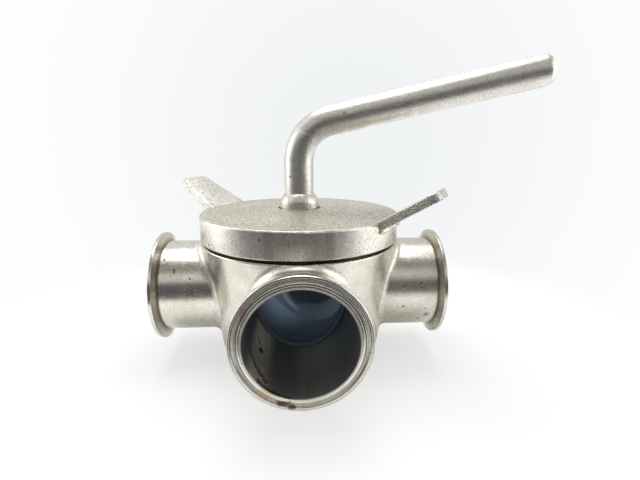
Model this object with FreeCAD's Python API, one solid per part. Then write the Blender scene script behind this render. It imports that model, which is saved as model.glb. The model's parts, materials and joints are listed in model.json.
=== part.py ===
import FreeCAD, Part
import math
import os

V = FreeCAD.Vector

# Three way plug valve with 3 inch clamp ports. Millimetres, +Z up.
# The origin is on the plug axis, at the flat underside of the bowl.
# Ports: left is -X, right is +X, front is -Y. The back is closed.

# --- driving dimensions: ports ---
port_tube_r = 38.1
port_wall = 1.65
port_reach = 118.0        # plug axis to ferrule face
port_step = 0.55          # the bowl's port hole is this much wider than the tube's bore
port_blend_r = 6.0        # rounding of the weld between tube and bowl
flange_lip = 7.35         # flange beyond the tube
flange_rim = 2.9          # straight rim behind the face
flange_back_angle = 20.0
flange_edge_r = 0.6
groove_inset = 4.05       # flange edge to the middle of the gasket groove
groove_r = 1.7
groove_depth = 1.5
flange_stand = 17.15      # flanges clear of the bench

# --- driving dimensions: bowl ---
taper = 0.14              # radius gained per millimetre of height, inside and outside
cavity_margin = 19.55     # cavity radius beyond the port bore, at port height
bowl_wall = 20.0
bowl_corner_r = 17.0      # rounding at the foot of the bowl
shoulder_land = 2.5       # shoulder above the port tubes
shoulder_edge_r = 1.0
floor_thickness = 12.6
neck_inset = 4.0          # thread inside the bowl's radius at port height
neck_height = 15.4
neck_edge = 1.2

# --- driving dimensions: cap nut ---
cap_overhang = 6.7        # cap beyond the bowl's radius at port height
cap_thickness = 20.3
cap_lift = 3.3            # gap between shoulder and cap
cap_top_edge_r = 1.8
cap_bottom_edge_r = 0.8
thread_clearance = 0.4
stem_hole_gap = 1.5       # open ring round the stem at the cap's top

# --- driving dimensions: seals and bearings ---
gasket_thickness = 2.2
gasket_width = 6.0
seat_gap = 0.3            # between faces that move against each other
washer_thickness = 2.7
washer_inset = 5.0        # washer inside the plug's top edge
bush_wall = 4.0
bush_length = 7.5
shaft_gap = 0.05          # running clearance of the stem in its bush
seal_cord_r = 1.5
seal_groove_play = 0.4    # groove wider than the seal's cord
seal_spacing = 3.9
pad_inset = 14.0          # foot pad inside the cavity's floor
pad_thickness = 2.7

# --- driving dimensions: plug ---
jacket_gap = 0.3          # between jacket and cavity wall
jacket_thickness = 3.5
passage_margin = 2.45     # plug passage inside the port bore
passage_lip_r = 1.5
passage_mouths = (-90.0, 0.0)   # azimuths of the elbow's two mouths
plug_top_drop = 5.0       # top of the plug below the neck's top face
handle_turn = -7.0        # azimuth of the handle from +X

# --- driving dimensions: stem and handle ---
stem_r = 16.2
stem_top_above_cap = 7.0
handle_r = 12.0
handle_weld_height = 8.0
handle_bend_r = 34.0
arm_angle = 12.5          # arm above the horizontal
arm_axis_above_cap = 68.1     # where the arm's line meets the plug axis
arm_length = 199.5            # from the plug axis along the arm to the tip
handle_tip_r = 4.0

# --- driving dimensions: wings ---
wing_turn = -30.0         # azimuth of the front wing
wing_angle = 30.7         # wing above the horizontal
wing_thickness = 7.0
wing_reach = 45.0         # beyond the cap's rim, along the wing
wing_tip_width = 23.0
wing_root_width = 47.0
wing_rise = -0.3          # wing's middle plane above the cap's top at the rim
wing_edge_r = 1.2
wing_weld_size = 4.0

# --- sizes and places that follow ---
port_bore_r = port_tube_r - port_wall
flange_r = port_tube_r + flange_lip
groove_mid_r = flange_r - groove_inset
port_height = flange_r + flange_stand      # port axis above the underside
cavity_r = port_bore_r + cavity_margin     # at port height
bowl_r = cavity_r + bowl_wall              # at port height
neck_r = bowl_r - neck_inset               # the thread, drawn as its outer cylinder
cap_r = bowl_r + cap_overhang
passage_r = port_bore_r - passage_margin
stem_hole_r = stem_r + stem_hole_gap
cavity_floor_z = floor_thickness
shoulder_z = port_height + port_tube_r + shoulder_land
neck_top_z = shoulder_z + neck_height
cap_bottom_z = shoulder_z + cap_lift
cap_top_z = cap_bottom_z + cap_thickness
plug_top_z = neck_top_z - plug_top_drop
washer_bottom_z = plug_top_z + seat_gap
cap_hub_z = washer_bottom_z + washer_thickness
thread_roof_z = neck_top_z + gasket_thickness + seat_gap
plug_bottom_z = cavity_floor_z + pad_thickness + seat_gap
washer_r = cavity_r + taper * (plug_top_z - port_height) - washer_inset
pad_r = cavity_r + taper * (cavity_floor_z - port_height) - pad_inset
stem_top_z = cap_top_z + stem_top_above_cap
bush_r = stem_r + shaft_gap + bush_wall
bush_top_z = cap_hub_z + bush_length
ports = {"left": 180.0, "right": 0.0, "front": -90.0}   # azimuth of each port
UP = V(0, 0, 1)


def bowl_radius(z):
    return bowl_r + taper * (z - port_height)


def cavity_radius(z):
    return cavity_r + taper * (z - port_height)


def ring(inner, outer, low, high):
    """A plain ring about the plug axis."""
    body = Part.makeCylinder(outer, high - low, V(0, 0, low), UP)
    return body.cut(Part.makeCylinder(inner, high - low, V(0, 0, low), UP))


def lines(points):
    """Straight edges from each point to the next."""
    return [Part.LineSegment(a, b).toShape() for a, b in zip(points, points[1:])]


def revolve(points):
    """A solid turned about the plug axis from a closed outline of (radius, height) points."""
    outline = Part.makePolygon([V(r, 0, z) for r, z in points + points[:1]])
    return Part.Face(outline).revolve(V(0, 0, 0), UP, 360)


def cone_between(low, high, radius):
    """A tapered solid whose radius at each height is given by a function."""
    return Part.makeCone(radius(low), radius(high), high - low, V(0, 0, low), UP)


def edges_at(shape, radius, z, tolerance=0.05):
    """Round edges about the plug axis with this radius and height."""
    found = []
    for edge in shape.Edges:
        box = edge.BoundBox
        flat = box.ZMax - box.ZMin < tolerance and abs(box.ZMax - z) < tolerance
        if flat and abs(box.XMax - radius) < tolerance and abs(box.YMax - radius) < tolerance:
            found.append(edge)
    return found


def saddle_edges(shape, radius_at, reach):
    """Curved edges that lie on a cone about the plug axis, within a height of the port axis."""
    found = []
    for edge in shape.Edges:
        span = edge.LastParameter - edge.FirstParameter
        places = [edge.valueAt(edge.FirstParameter + span * part) for part in (0.2, 0.5, 0.8)]
        on_cone = all(abs(math.hypot(p.x, p.y) - radius_at(p.z)) < 0.01 for p in places)
        near = all(abs(p.z - port_height) < reach + 0.1 for p in places)
        if on_cone and near and edge.Curve.TypeId == "Part::GeomBSplineCurve":
            found.append(edge)
    return found


def along_port(shape, azimuth):
    """Turns a shape made along +Z so that it lies on a port axis."""
    shape = shape.copy()
    shape.rotate(V(0, 0, 0), V(0, 1, 0), 90)
    shape.rotate(V(0, 0, 0), UP, azimuth)
    shape.translate(V(0, 0, port_height))
    return shape


def bowl_outside(top):
    """The bowl's outer form up to a height, with its rounded foot."""
    body = cone_between(0, top, bowl_radius)
    return body.makeFillet(bowl_corner_r, edges_at(body, bowl_radius(0), 0))


def port_tube(azimuth):
    """A solid bar of the tube's size, from the plug axis to the ferrule face."""
    return along_port(Part.makeCylinder(port_tube_r, port_reach), azimuth)


def port_hole(azimuth):
    return along_port(Part.makeCylinder(port_bore_r + port_step, port_reach), azimuth)


def valve_body():
    """The bowl: rounded foot, tapered wall, shoulder, thread neck, cavity and port holes."""
    body = bowl_outside(shoulder_z)
    body = body.makeFillet(shoulder_edge_r, edges_at(body, bowl_radius(shoulder_z), shoulder_z))
    neck = Part.makeCylinder(neck_r, neck_top_z - shoulder_z + 1, V(0, 0, shoulder_z - 1), UP)
    neck = neck.makeChamfer(neck_edge, edges_at(neck, neck_r, neck_top_z))
    body = body.fuse(neck).cut(cone_between(cavity_floor_z, neck_top_z, cavity_radius))
    for azimuth in ports.values():
        body = body.cut(port_hole(azimuth))
    return body.removeSplitter()


def port_weld(azimuth):
    """The rounded weld that fills the corner between the tube and the bowl."""
    tall = bowl_outside(port_height + port_tube_r + 3 * port_blend_r)
    tube = port_tube(azimuth)
    joined = tall.fuse(tube)
    blended = joined.makeFillet(port_blend_r, saddle_edges(joined, bowl_radius, port_tube_r))
    above = Part.makeBox(4 * bowl_r, 4 * bowl_r, bowl_r, V(-2 * bowl_r, -2 * bowl_r, shoulder_z))
    return blended.cut(tall).cut(tube).cut(above)


def ferrule_profile():
    """The clamp ferrule's section: bore, face with its gasket groove, rim and back."""
    rim_back = port_reach - flange_rim
    slope = flange_lip * math.tan(math.radians(flange_back_angle))
    groove_start = V(groove_mid_r - groove_r, 0, port_reach)
    groove_bottom = V(groove_mid_r, 0, port_reach - groove_depth)
    groove_end = V(groove_mid_r + groove_r, 0, port_reach)
    inside = [V(port_tube_r, 0, 0), V(port_bore_r, 0, 0), V(port_bore_r, 0, port_reach), groove_start]
    outside = [
        groove_end,
        V(flange_r - flange_edge_r, 0, port_reach),
        V(flange_r, 0, port_reach - flange_edge_r),
        V(flange_r, 0, rim_back),
        V(port_tube_r, 0, rim_back - slope),
        V(port_tube_r, 0, 0),
    ]
    groove = Part.Arc(groove_start, groove_bottom, groove_end).toShape()
    return Part.Face(Part.Wire(lines(inside) + [groove] + lines(outside)))


def ferrule(azimuth):
    turned = ferrule_profile().revolve(V(0, 0, 0), UP, 360)
    turned = along_port(turned, azimuth)
    return turned.cut(bowl_outside(port_height + 2 * flange_r))


def wing_nut_cap():
    body = Part.makeCylinder(cap_r, cap_thickness, V(0, 0, cap_bottom_z), UP)
    body = body.makeFillet(cap_top_edge_r, edges_at(body, cap_r, cap_top_z))
    body = body.makeFillet(cap_bottom_edge_r, edges_at(body, cap_r, cap_bottom_z))
    thread = Part.makeCylinder(neck_r + thread_clearance, thread_roof_z - cap_bottom_z,
                               V(0, 0, cap_bottom_z), UP)
    hub = Part.makeCylinder(washer_r, thread_roof_z - cap_hub_z, V(0, 0, cap_hub_z), UP)
    body = body.cut(thread.cut(hub))
    body = body.cut(Part.makeCylinder(stem_hole_r, cap_thickness * 2, V(0, 0, cap_bottom_z), UP))
    return body.cut(Part.makeCylinder(bush_r, bush_length, V(0, 0, cap_hub_z), UP))


def body_gasket():
    outer = neck_r - neck_edge
    return ring(outer - gasket_width, outer, neck_top_z, neck_top_z + gasket_thickness)


def thrust_washer():
    return ring(stem_r + seat_gap, washer_r, washer_bottom_z, cap_hub_z)


def stem_bush():
    return ring(stem_r + shaft_gap, bush_r, cap_hub_z, bush_top_z)


def seal_heights():
    """Middle heights of the two stem seals, inside the bush."""
    middle = (cap_hub_z + bush_top_z) / 2
    return middle - seal_spacing / 2, middle + seal_spacing / 2


def stem_seal(z):
    return Part.makeTorus(stem_r - seal_cord_r, seal_cord_r, V(0, 0, z), UP)


def plug_foot_pad():
    return Part.makeCylinder(pad_r, pad_thickness, V(0, 0, cavity_floor_z), UP)


def passage(radius):
    """The mitred elbow through the plug: two legs from the plug axis and their outer corner."""
    reach = cavity_radius(neck_top_z)
    middle = V(0, 0, port_height)
    legs = []
    bars = []
    for azimuth in passage_mouths:
        turn = math.radians(azimuth)
        out = V(math.cos(turn), math.sin(turn), 0)
        legs.append(Part.makeCylinder(radius, reach, middle, out))
        bars.append(Part.makeCylinder(radius, 2 * reach, middle - out * reach, out))
    corner = bars[0].common(bars[1])
    return legs[0].fuse(legs[1]).fuse(corner)


def jacket_radius(z):
    return cavity_radius(z) - jacket_gap


def core_radius(z):
    return jacket_radius(z) - jacket_thickness


def plug_core():
    body = cone_between(plug_bottom_z, plug_top_z, core_radius)
    return body.cut(passage(passage_r + jacket_thickness))


def plug_jacket():
    """The moulded skin: outside face and passage lining in one piece."""
    body = cone_between(plug_bottom_z, plug_top_z, jacket_radius).cut(passage(passage_r))
    body = body.makeFillet(passage_lip_r, saddle_edges(body, jacket_radius, passage_r))
    inner = cone_between(plug_bottom_z, plug_top_z, core_radius)
    return body.cut(inner.cut(passage(passage_r + jacket_thickness)))


def plug_stem():
    body = Part.makeCylinder(stem_r, stem_top_z - plug_top_z, V(0, 0, plug_top_z), UP)
    groove_half = seal_cord_r + seal_groove_play / 2
    groove_floor = stem_r - 2 * seal_cord_r - shaft_gap
    for z in seal_heights():
        body = body.cut(ring(groove_floor, stem_r + 1, z - groove_half, z + groove_half))
    return body


def handle_weld():
    weld_top_z = stem_top_z + handle_weld_height
    return revolve([(handle_r, stem_top_z), (stem_r, stem_top_z), (handle_r, weld_top_z)])


def handle_bar():
    """A round bar that rises from the stem, bends and reaches out as the arm."""
    rise = math.radians(arm_angle)
    turn = math.radians(handle_turn)
    out = V(math.cos(turn), math.sin(turn), 0)
    arm = out * math.cos(rise) + UP * math.sin(rise)
    corner = V(0, 0, cap_top_z + arm_axis_above_cap)
    trim = handle_bend_r * math.tan((math.pi / 2 - rise) / 2)
    bend_start = corner - UP * trim
    bend_end = corner + arm * trim
    centre = bend_start + out * handle_bend_r
    bend_middle = centre + (corner - centre).normalize() * handle_bend_r
    foot = V(0, 0, stem_top_z)
    tip = corner + arm * arm_length
    bend = Part.Arc(bend_start, bend_middle, bend_end).toShape()
    path = Part.Wire(lines([foot, bend_start]) + [bend] + lines([bend_end, tip]))
    section = Part.Wire([Part.Circle(foot, UP, handle_r).toShape()])
    bar = path.makePipeShell([section], True, False)
    tip_edges = [e for e in bar.Edges if e.CenterOfMass.distanceToPoint(tip) < 0.5]
    return bar.makeFillet(handle_tip_r, tip_edges)


def wing_inset():
    """How far the plate runs in over the cap before its top meets the cap's top."""
    rise = math.radians(wing_angle)
    return (wing_rise + wing_thickness / 2 / math.cos(rise)) / math.sin(rise) + wing_thickness


def wing_blank():
    """A flat tapered plate with a rounded tip, made flat along +X from the cap's rim."""
    root = wing_root_width / 2
    tip = wing_tip_width / 2
    inset = wing_inset()
    nose = wing_reach - tip
    near = [V(-inset, root, 0), V(-inset, -root, 0), V(0, -root, 0), V(nose, -tip, 0)]
    far = [V(nose, tip, 0), V(0, root, 0), V(-inset, root, 0)]
    end = Part.Arc(V(nose, -tip, 0), V(wing_reach, 0, 0), V(nose, tip, 0)).toShape()
    plate = Part.Face(Part.Wire(lines(near) + [end] + lines(far))).extrude(V(0, 0, wing_thickness))
    plate.translate(V(0, 0, -wing_thickness / 2))
    rims = [e for e in plate.Edges if abs(e.CenterOfMass.z) > wing_thickness / 2 - 0.01
            and e.CenterOfMass.x > 1 - inset]
    return plate.makeFillet(wing_edge_r, rims)


def wing_seat(shape, azimuth):
    """Tilts a shape made flat at the origin and sets it on the cap's rim."""
    shape.rotate(V(0, 0, 0), V(0, 1, 0), -wing_angle)
    shape.translate(V(cap_r, 0, cap_top_z + wing_rise))
    shape.rotate(V(0, 0, 0), UP, azimuth)
    disc = Part.makeCylinder(cap_r, cap_thickness * 3, V(0, 0, cap_top_z - cap_thickness * 3), UP)
    return shape.cut(disc)


def wing(azimuth):
    return wing_seat(wing_blank(), azimuth)


def wing_weld(azimuth):
    """The bead that fills the corner between the wing's underside and the cap's side."""
    rise = math.radians(wing_angle)
    half = wing_root_width / 2 - wing_edge_r
    under = -wing_thickness / 2
    rim = under * math.tan(rise)
    buried = 2.5     # share of the face's length, so that it ends inside the cap
    outer = V(rim + wing_weld_size, -half, under)
    lower = V(rim - wing_weld_size * math.sin(rise), -half, under - wing_weld_size * math.cos(rise))
    inner = outer + (lower - outer) * buried
    section = Part.Wire(lines([outer, inner, V(inner.x, -half, under), outer]))
    bead = Part.Face(section).extrude(V(0, 2 * half, 0))
    return wing_seat(bead, azimuth)


def save(name, shape):
    """Writes one node and prints its solids, soundness and volume in cubic millimetres."""
    if len(shape.Solids) == 1:
        shape = shape.Solids[0]
    shape.exportStep("parts/" + name + ".step")
    print(name, len(shape.Solids), shape.isValid(), round(shape.Volume), flush=True)


def build():
    os.makedirs("parts", exist_ok=True)
    save("valve_body", valve_body())
    for side, azimuth in ports.items():
        save(side + "_ferrule", ferrule(azimuth))
        save(side + "_port_weld", port_weld(azimuth))
    save("wing_nut_cap", wing_nut_cap())
    for side, azimuth in (("front", wing_turn), ("rear", wing_turn + 180)):
        save(side + "_wing", wing(azimuth))
        save(side + "_wing_weld", wing_weld(azimuth))
    save("body_gasket", body_gasket())
    save("thrust_washer", thrust_washer())
    save("stem_bush", stem_bush())
    lower, upper = seal_heights()
    save("lower_stem_seal", stem_seal(lower))
    save("upper_stem_seal", stem_seal(upper))
    save("plug_foot_pad", plug_foot_pad())
    save("plug_core", plug_core())
    save("plug_jacket", plug_jacket())
    save("plug_stem", plug_stem())
    save("handle_weld", handle_weld())
    save("handle_bar", handle_bar())


build()
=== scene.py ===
import json
import math

import bmesh
import bpy
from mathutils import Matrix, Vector


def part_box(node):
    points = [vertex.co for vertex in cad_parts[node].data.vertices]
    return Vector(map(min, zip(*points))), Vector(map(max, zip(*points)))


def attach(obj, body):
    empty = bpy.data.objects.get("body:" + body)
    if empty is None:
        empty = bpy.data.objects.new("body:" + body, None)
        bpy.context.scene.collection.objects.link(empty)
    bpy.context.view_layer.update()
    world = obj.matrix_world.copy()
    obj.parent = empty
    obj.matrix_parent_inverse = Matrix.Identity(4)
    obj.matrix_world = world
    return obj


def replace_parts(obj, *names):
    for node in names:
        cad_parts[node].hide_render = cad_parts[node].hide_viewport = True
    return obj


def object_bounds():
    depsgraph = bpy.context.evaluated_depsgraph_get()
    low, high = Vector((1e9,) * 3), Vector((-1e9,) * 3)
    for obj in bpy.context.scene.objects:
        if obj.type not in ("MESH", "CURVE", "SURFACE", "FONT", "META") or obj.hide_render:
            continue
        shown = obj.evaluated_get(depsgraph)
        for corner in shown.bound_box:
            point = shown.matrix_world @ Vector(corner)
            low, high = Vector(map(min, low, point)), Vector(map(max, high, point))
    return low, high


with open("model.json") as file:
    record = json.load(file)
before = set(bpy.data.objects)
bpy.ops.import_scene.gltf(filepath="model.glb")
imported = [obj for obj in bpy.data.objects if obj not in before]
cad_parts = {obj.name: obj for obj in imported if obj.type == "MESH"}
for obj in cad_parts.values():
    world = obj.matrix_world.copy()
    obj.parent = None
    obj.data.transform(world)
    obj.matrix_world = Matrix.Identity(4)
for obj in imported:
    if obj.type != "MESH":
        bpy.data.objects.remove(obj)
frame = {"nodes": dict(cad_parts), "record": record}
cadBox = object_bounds()
nodes = frame["nodes"]
millimetre = 0.001

# three sizes of the solids that the frame doesn't give
portWall = 1.65 * millimetre
capGap = 3.3 * millimetre  # between the bowl's shoulder and the cap
gasketInset = 1.2 * millimetre  # from the neck's outside to the gasket's

# places on the valve, taken from the frame
frontLow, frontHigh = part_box("front_ferrule")
capLow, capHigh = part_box("wing_nut_cap")
gasketLow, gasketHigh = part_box("body_gasket")
mounts = {mount["name"]: mount for mount in frame["record"]["mounts"]}
portHeight = (frontLow.z + frontHigh.z) / 2
portReach = -frontLow.y
boreRadius = mounts["front_port"]["dims"]["r_mm"] * millimetre
tubeRadius = boreRadius + portWall
capRadius = capHigh.x
capRimTop = capHigh.z
shoulderHeight = capLow.z - capGap
neckRadius = gasketHigh.x + gasketInset
neckTop = gasketLow.z
print("frame loaded:", len(nodes), "nodes")


def addObject(name, data):
    thing = bpy.data.objects.new(name, data)
    bpy.context.scene.collection.objects.link(thing)
    return thing


# ---- camera
cameraSettings = {
    "place": (-0.0006, -0.341, 0.1838),
    "heading": 3.06,  # degrees to the right of straight ahead
    "pitch": -13.7,  # degrees, looking down
    "lens": 22.63,
    "sensor": 36.0,
}


def buildCamera(settings):
    data = bpy.data.cameras.new("viewCamera")
    data.lens = settings["lens"]
    data.sensor_width = settings["sensor"]
    data.clip_start = 0.01
    camera = addObject("viewCamera", data)
    camera.location = settings["place"]
    tilt = math.radians(90 + settings["pitch"])
    camera.rotation_euler = (tilt, 0.0, -math.radians(settings["heading"]))
    bpy.context.scene.camera = camera


buildCamera(cameraSettings)
bpy.context.scene.view_settings.view_transform = "Standard"
print("camera in place")


# ---- node helpers
def feed(tree, node, inputs):
    for socket, value in inputs.items():
        if isinstance(value, bpy.types.NodeSocket):
            tree.links.new(value, node.inputs[socket])
        else:
            node.inputs[socket].default_value = value
    return node


def put(tree, kind, inputs=None, **settings):
    node = tree.nodes.new("ShaderNode" + kind)
    for name, value in settings.items():
        setattr(node, name, value)
    return feed(tree, node, inputs or {})


def calc(tree, operation, a, b=0.0, clamp=False):
    return put(tree, "Math", {0: a, 1: b}, operation=operation, use_clamp=clamp).outputs[0]


def times(tree, a, b):
    return calc(tree, "MULTIPLY", a, b)


def plus(tree, a, b):
    return calc(tree, "ADD", a, b)


def minus(tree, a, b):
    return calc(tree, "SUBTRACT", a, b)


def greater(tree, a, b):
    return calc(tree, "MAXIMUM", a, b)


def fade(tree, value, low, high, toLow=0.0, toHigh=1.0):
    limits = {"Value": value, "From Min": low, "From Max": high, "To Min": toLow, "To Max": toHigh}
    return put(tree, "MapRange", limits, interpolation_type="SMOOTHSTEP").outputs["Result"]


def fall(tree, value, low, high):
    return fade(tree, value, low, high, 1.0, 0.0)


def band(tree, value, edges, high=1.0, low=0.0):
    # rises between the first two edges and sinks from high to low between the last two
    return times(tree, fade(tree, value, *edges[:2]), fade(tree, value, *edges[2:], high, low))


def tint(tree, factor, a, b, mode="MIX"):
    node = put(tree, "Mix", {0: factor, 6: a, 7: b}, data_type="RGBA", blend_type=mode)
    return node.outputs[2]


def vec(tree, operation, a, b=(0.0, 0.0, 0.0)):
    node = put(tree, "VectorMath", {0: a, 1: b}, operation=operation)
    return node.outputs["Value" if operation in ("LENGTH", "DOT_PRODUCT", "DISTANCE") else "Vector"]


def mix(tree, factor, a, b):
    # a plain number between a and b
    return put(tree, "Mix", {0: factor, 2: a, 3: b}, data_type="FLOAT").outputs[0]


def split(tree, spot):
    return put(tree, "SeparateXYZ", {0: spot}).outputs


def rgb(*colour):
    return (*colour, 1.0)


def grey(value):
    return rgb(value, value, value)


def openGroup(name, inputs, outputs):
    # an input without a value is a vector, and all else are plain numbers
    tree = bpy.data.node_groups.new(name, "ShaderNodeTree")
    for label, value in inputs.items():
        kind = "NodeSocketVector" if value is None else "NodeSocketFloat"
        socket = tree.interface.new_socket(label, in_out="INPUT", socket_type=kind)
        if value is not None:
            socket.default_value = value
    for label in outputs:
        tree.interface.new_socket(label, in_out="OUTPUT", socket_type="NodeSocketFloat")
    return tree, tree.nodes.new("NodeGroupInput").outputs, tree.nodes.new("NodeGroupOutput")


def place(tree, group, inputs):
    node = tree.nodes.new("ShaderNodeGroup")
    node.node_tree = group
    return feed(tree, node, inputs).outputs


# ---- studio: floor, world, lamps
studio = {
    "floorSize": 12.0,
    "floorColour": rgb(0.84, 0.84, 0.83),
    "floorMirrored": rgb(0.97, 0.965, 0.95),
    "floorGlow": 0.62,  # share of plain white seen straight by the camera
    "floorWhite": rgb(0.955, 0.96, 0.965),
    "backdropNear": rgb(0.875, 0.895, 0.91),
    "backdropFar": rgb(0.99, 0.985, 0.985),
    "backdropMiddle": (7.0, -1.0),  # degrees to the right and up, where it is least bright
    "backdropReach": (6.0, 44.0),
    "benchEnd": (0.24, 0.40),  # beyond this the camera sees the backdrop
    "ambient": 0.62,
    "flagEdge": -0.21,  # in front of this the floor mirrors dark
    "flagSlant": 0.15,
    "darkRoom": 0.12,  # brightness of what lies behind the camera
    # degrees up, and to the right from straight behind the camera
    "roomTop": (19.0, 27.0), "roomSides": (-96.0, -62.0, 44.0, 62.0),
    "slot": rgb(0.87, 0.86, 0.83),  # round the dark room and under the ceiling
    "ceiling": rgb(0.34, 0.34, 0.33), "ceilingRise": (40.0, 50.0, 78.0, 88.0),
    "rightShade": rgb(0.86, 0.86, 0.85),  # the right half is this much duller
}


def rayIs(tree, *kinds):
    path = put(tree, "LightPath")
    total = path.outputs[f"Is {kinds[0]} Ray"]
    for kind in kinds[1:]:
        total = greater(tree, total, path.outputs[f"Is {kind} Ray"])
    return total


def buildFloor(settings):
    size = settings["floorSize"]
    mesh = bpy.data.meshes.new("paleFloor")
    form = bmesh.new()
    bmesh.ops.create_grid(form, x_segments=1, y_segments=1, size=size / 2)
    form.to_mesh(mesh)
    form.free()
    floor = addObject("paleFloor", mesh)
    floor.location = (0, 0, cadBox[0][2] - 0.0002)
    material = bpy.data.materials.new("paleFloor")
    material.use_nodes = True
    tree = material.node_tree
    tree.nodes.clear()
    spot = put(tree, "NewGeometry").outputs["Position"]
    across, along = split(tree, spot)[:2]
    away = fade(tree, vec(tree, "LENGTH", spot), *settings["benchEnd"])
    edge = settings["flagEdge"]
    slanted = plus(tree, along, times(tree, across, settings["flagSlant"]))
    bench = fade(tree, slanted, edge - 0.02, edge + 0.01)
    glossyDark = times(tree, rayIs(tree, "Glossy"), minus(tree, 1.0, bench))
    bright = tint(tree, rayIs(tree, "Glossy"), settings["floorColour"], settings["floorMirrored"])
    colour = tint(tree, glossyDark, bright, grey(settings["darkRoom"]))
    lit = put(tree, "BsdfDiffuse", {"Color": colour})
    plain = put(tree, "Emission", {"Color": settings["floorWhite"], "Strength": 1.0})
    seen = rayIs(tree, "Camera")
    share = times(tree, seen, settings["floorGlow"])
    mixed = put(tree, "MixShader", {0: share, 1: lit.outputs[0], 2: plain.outputs[0]})
    clear = put(tree, "BsdfTransparent")
    gone = times(tree, seen, away)
    ending = put(tree, "MixShader", {0: gone, 1: mixed.outputs[0], 2: clear.outputs[0]})
    put(tree, "OutputMaterial", {"Surface": ending.outputs[0]})
    mesh.materials.append(material)


def buildWorld(settings):
    world = bpy.data.worlds.new("studioWorld")
    bpy.context.scene.world = world
    world.use_nodes = True
    tree = world.node_tree
    tree.nodes.clear()
    way = split(tree, put(tree, "TexCoord").outputs["Generated"])
    forward = times(tree, way["Y"], -1.0)
    inDegrees = 180 / math.pi
    lift = times(tree, calc(tree, "ARCTAN2", way["Z"], forward), inDegrees)
    side = times(tree, calc(tree, "ARCTAN2", way["X"], forward), inDegrees)
    # dark room behind the camera, with a bright slot and a grey ceiling above it
    low = fall(tree, lift, *settings["roomTop"])
    dark = times(tree, low, band(tree, side, settings["roomSides"]))
    ceiling = band(tree, lift, settings["ceilingRise"])
    colour = tint(tree, ceiling, settings["slot"], settings["ceiling"])
    colour = tint(tree, fade(tree, way["X"], 0.05, 0.55), colour, settings["rightShade"], "MULTIPLY")
    colour = tint(tree, dark, colour, grey(settings["darkRoom"]))
    colour = tint(tree, rayIs(tree, "Glossy"), grey(settings["ambient"]), colour)
    # the backdrop brightens away from its middle
    turn, rise = settings["backdropMiddle"]
    ahead = times(tree, calc(tree, "ARCTAN2", way["X"], way["Y"]), inDegrees)
    climb = times(tree, calc(tree, "ARCSINE", way["Z"]), inDegrees)
    away = put(tree, "CombineXYZ", {0: minus(tree, ahead, turn), 1: minus(tree, climb, rise)}).outputs[0]
    share = fade(tree, vec(tree, "LENGTH", away), *settings["backdropReach"])
    backdrop = tint(tree, share, settings["backdropNear"], settings["backdropFar"])
    colour = tint(tree, rayIs(tree, "Camera", "Transmission"), colour, backdrop)
    shader = put(tree, "Background", {"Color": colour, "Strength": 1.0})
    put(tree, "OutputWorld", {"Surface": shader.outputs[0]})


lampAim = Vector((0, 0, 0.1))
lamps = {
    "overhead": {"place": (0.0, 0.12, 1.05), "size": (0.75, 0.6), "power": 8.0},
    "leftSide": {"place": (-0.85, 0.1, 0.35), "size": (0.6, 0.7), "power": 3.0},
    "rightSide": {"place": (0.85, -0.1, 0.35), "size": (0.6, 0.7), "power": 3.0},
}


def buildLamp(name, settings):
    data = bpy.data.lights.new(name, "AREA")
    data.shape = "RECTANGLE"
    data.size, data.size_y = settings["size"]
    data.energy = settings["power"]
    lamp = addObject(name, data)
    lamp.location = settings["place"]
    lamp.rotation_euler = (lampAim - lamp.location).to_track_quat("-Z", "Y").to_euler()
    lamp.visible_camera = False


buildFloor(studio)
buildWorld(studio)
for lampName, lampSettings in lamps.items():
    buildLamp(lampName, lampSettings)
print("studio ready")


# ---- shared effects, each one node group
def buildCastGrain():
    # small lumps, a broad drift of tone and scattered pits
    given = {"Place": None, "Size": 0.001, "Pits": 0.3}
    tree, given, result = openGroup("castGrain", given, ("Height", "Tone", "Pit", "Spark"))
    scale = calc(tree, "DIVIDE", 1.0, given["Size"])
    spot = given["Place"]
    lumps = put(tree, "TexNoise", {"Vector": spot, "Scale": scale, "Detail": 3.0, "Roughness": 0.65})
    wide = times(tree, scale, 0.045)
    broad = put(tree, "TexNoise", {"Vector": spot, "Scale": wide, "Detail": 4.0, "Roughness": 0.6})
    sparse = times(tree, scale, 0.42)
    cells = put(tree, "TexVoronoi", {"Vector": spot, "Scale": sparse}).outputs
    chance = put(tree, "SeparateColor", {0: cells["Color"]}).outputs[0]
    picked = calc(tree, "LESS_THAN", chance, given["Pits"])
    pit = times(tree, fall(tree, cells["Distance"], 0.12, 0.36), picked)
    fine = put(tree, "TexVoronoi", {"Vector": spot, "Scale": times(tree, scale, 1.1)}).outputs
    spark = put(tree, "SeparateColor", {0: fine["Color"]}).outputs[1]
    height = minus(tree, lumps.outputs["Fac"], times(tree, pit, 0.9))
    height = plus(tree, height, times(tree, spark, 0.25))
    tone = fade(tree, broad.outputs["Fac"], 0.34, 0.66)
    feed(tree, result, {"Height": height, "Tone": tone, "Pit": pit, "Spark": spark})
    return tree


def buildTurnedLines():
    # fine lines of a lathe tool, one number along which they follow each other
    given = {"Along": 0.0, "Spacing": 0.0003}
    tree, given, result = openGroup("turnedLines", given, ("Height", "Band"))
    steps = calc(tree, "DIVIDE", given["Along"], given["Spacing"])
    fine = put(tree, "TexNoise", {"W": steps, "Scale": 1.0, "Detail": 2.0}, noise_dimensions="1D")
    wide = put(tree, "TexNoise", {"W": steps, "Scale": 0.17, "Detail": 2.0}, noise_dimensions="1D")
    wider = fade(tree, wide.outputs["Fac"], 0.36, 0.64)
    feed(tree, result, {"Height": fine.outputs["Fac"], "Band": wider})
    return tree


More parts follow.
